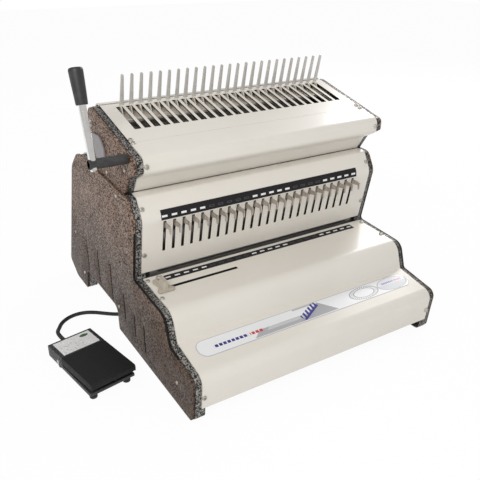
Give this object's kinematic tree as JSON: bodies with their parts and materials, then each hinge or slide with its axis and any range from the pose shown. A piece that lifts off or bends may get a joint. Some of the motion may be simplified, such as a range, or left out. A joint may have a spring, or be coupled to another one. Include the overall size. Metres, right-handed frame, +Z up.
{
  "type": "comb binding machine with foot pedal",
  "caption": "Electric comb binding machine: punching table, two rows of hooks, upright prongs, hand lever, side casings and a corded foot pedal.",
  "frame": {"origin": "on the floor at the machine's mid-width, straight below the front edge of the lower cover", "axes": "+X to the machine's right seen from its front, +Y from its front to its back, +Z up"},
  "size_m": [0.5364, 0.488, 0.4126],
  "materials": {
    "hammer_brown": "hammered",
    "hammer_black": "hammered",
    "ivory": "satin",
    "strip_black": "matt",
    "label_white": "satin",
    "steel": "brushed",
    "zinc": "plated",
    "chrome": "polished",
    "black_plastic": "grained",
    "rubber": "matt",
    "motor_paint": "satin",
    "aluminium": "machined",
    "bronze": "machined",
    "board_green": "lacquered",
    "pedal_grey": "hammered",
    "pedal_black": "grained",
    "label_grey": "speckled"
  },
  "bodies": {
    "machine": {"lower_frame_left": "hammer_black", "lower_frame_right": "hammer_black", "lower_casing_left": "hammer_brown", "lower_casing_right": "hammer_brown", "upper_frame_left": "hammer_black", "upper_frame_right": "hammer_black", "upper_casing_left": "hammer_brown", "upper_casing_right": "hammer_brown", "base_plate": "steel", "lower_cover": "ivory", "mid_cover": "ivory", "upper_cover": "ivory", "top_cover": "ivory", "rear_cover": "ivory", "upper_rear_cover": "ivory", "prong_comb": "steel", "top_rails": "steel", "mid_rails": "steel", "mid_strip": "strip_black", "table_strip": "strip_black", "control_label": "label_white", "shaft_bushes": "bronze", "stop_plate": "steel", "die_plate": "steel", "stripper_plate": "steel", "guide_columns": "steel", "cam_bearings": "bronze", "motor": "motor_paint", "motor_bracket": "steel", "drive_belt": "rubber", "control_board": "board_green", "power_inlet": "black_plastic", "switch_housing": "black_plastic", "cover_screws": "zinc", "casing_screws": "zinc", "pedal_base": "pedal_grey", "pedal_pin": "steel", "pedal_feet": "rubber", "pedal_label": "label_grey", "pedal_gland": "rubber", "pedal_switch": "black_plastic", "machine_gland": "black_plastic", "cord_lead": "rubber", "cord_coil": "rubber", "cord_tail": "rubber"},
    "lever": {"lever_shaft": "black_plastic", "lever_rod": "chrome", "lever_grip": "black_plastic"},
    "top_hooks": {"top_carriage": "zinc"},
    "mid_hooks": {"mid_carriage": "zinc"},
    "punch": {"punch_bar": "steel", "punches": "steel"},
    "camshaft_group": {"camshaft": "steel", "cam_pulley": "aluminium"},
    "motor_rotor": {"motor_pulley": "aluminium"},
    "guide": {"side_guide": "zinc"},
    "knob": {"guide_knob": "black_plastic"},
    "drawer": {"chip_drawer": "black_plastic"},
    "flap": {"pedal_flap": "pedal_black"},
    "switch_rocker": {"rocker": "black_plastic"}
  },
  "joints": [
    {"name": "lever_turn", "type": "hinge", "parent": "machine", "child": "lever", "pos_m": [-0.25, 0.167, 0.3005], "axis": [1, 0, 0], "range_deg": [0, 80]},
    {"name": "top_hooks_slide", "type": "slide", "parent": "machine", "child": "top_hooks", "axis": [0, -0.9702, -0.2421], "range_m": [0, 0.022]},
    {"name": "mid_hooks_slide", "type": "slide", "parent": "machine", "child": "mid_hooks", "axis": [0, 0.1925, -0.9813], "range_m": [0, 0.0335]},
    {"name": "punch_stroke", "type": "slide", "parent": "machine", "child": "punch", "axis": [0, 0, -1], "range_m": [0, 0.012]},
    {"name": "camshaft_spin", "type": "hinge", "parent": "machine", "child": "camshaft_group", "pos_m": [0, 0.196, 0.216], "axis": [1, 0, 0], "continuous": true},
    {"name": "motor_spin", "type": "hinge", "parent": "machine", "child": "motor_rotor", "pos_m": [0, 0.33, 0.196], "axis": [1, 0, 0], "continuous": true},
    {"name": "guide_slide", "type": "slide", "parent": "machine", "child": "guide", "axis": [1, 0, 0], "range_m": [0, 0.1]},
    {"name": "knob_turn", "type": "hinge", "parent": "guide", "child": "knob", "pos_m": [-0.182, 0.1443, 0.1349], "axis": [0, -0.0733, 0.9973], "range_deg": [-90, 90]},
    {"name": "drawer_slide", "type": "slide", "parent": "machine", "child": "drawer", "axis": [1, 0, 0], "range_m": [0, 0.3]},
    {"name": "flap_hinge", "type": "hinge", "parent": "machine", "child": "flap", "pos_m": [-0.31963, 0.19347, 0.0165], "axis": [0.9853, 0.1709, 0], "range_deg": [0, 3.6], "stiffness_Nm_per_rad": 4},
    {"name": "rocker_tilt", "type": "hinge", "parent": "machine", "child": "switch_rocker", "pos_m": [-0.06, 0.46101, 0.085], "axis": [1, 0, 0], "range_deg": [0, 16]}
  ],
  "couplings": [
    {"joint": "top_hooks_slide", "follows": "lever_turn", "m_per_rad": 0.015756},
    {"joint": "mid_hooks_slide", "follows": "lever_turn", "m_per_rad": 0.023993},
    {"joint": "motor_spin", "follows": "camshaft_spin", "ratio": 1.8571}
  ]
}
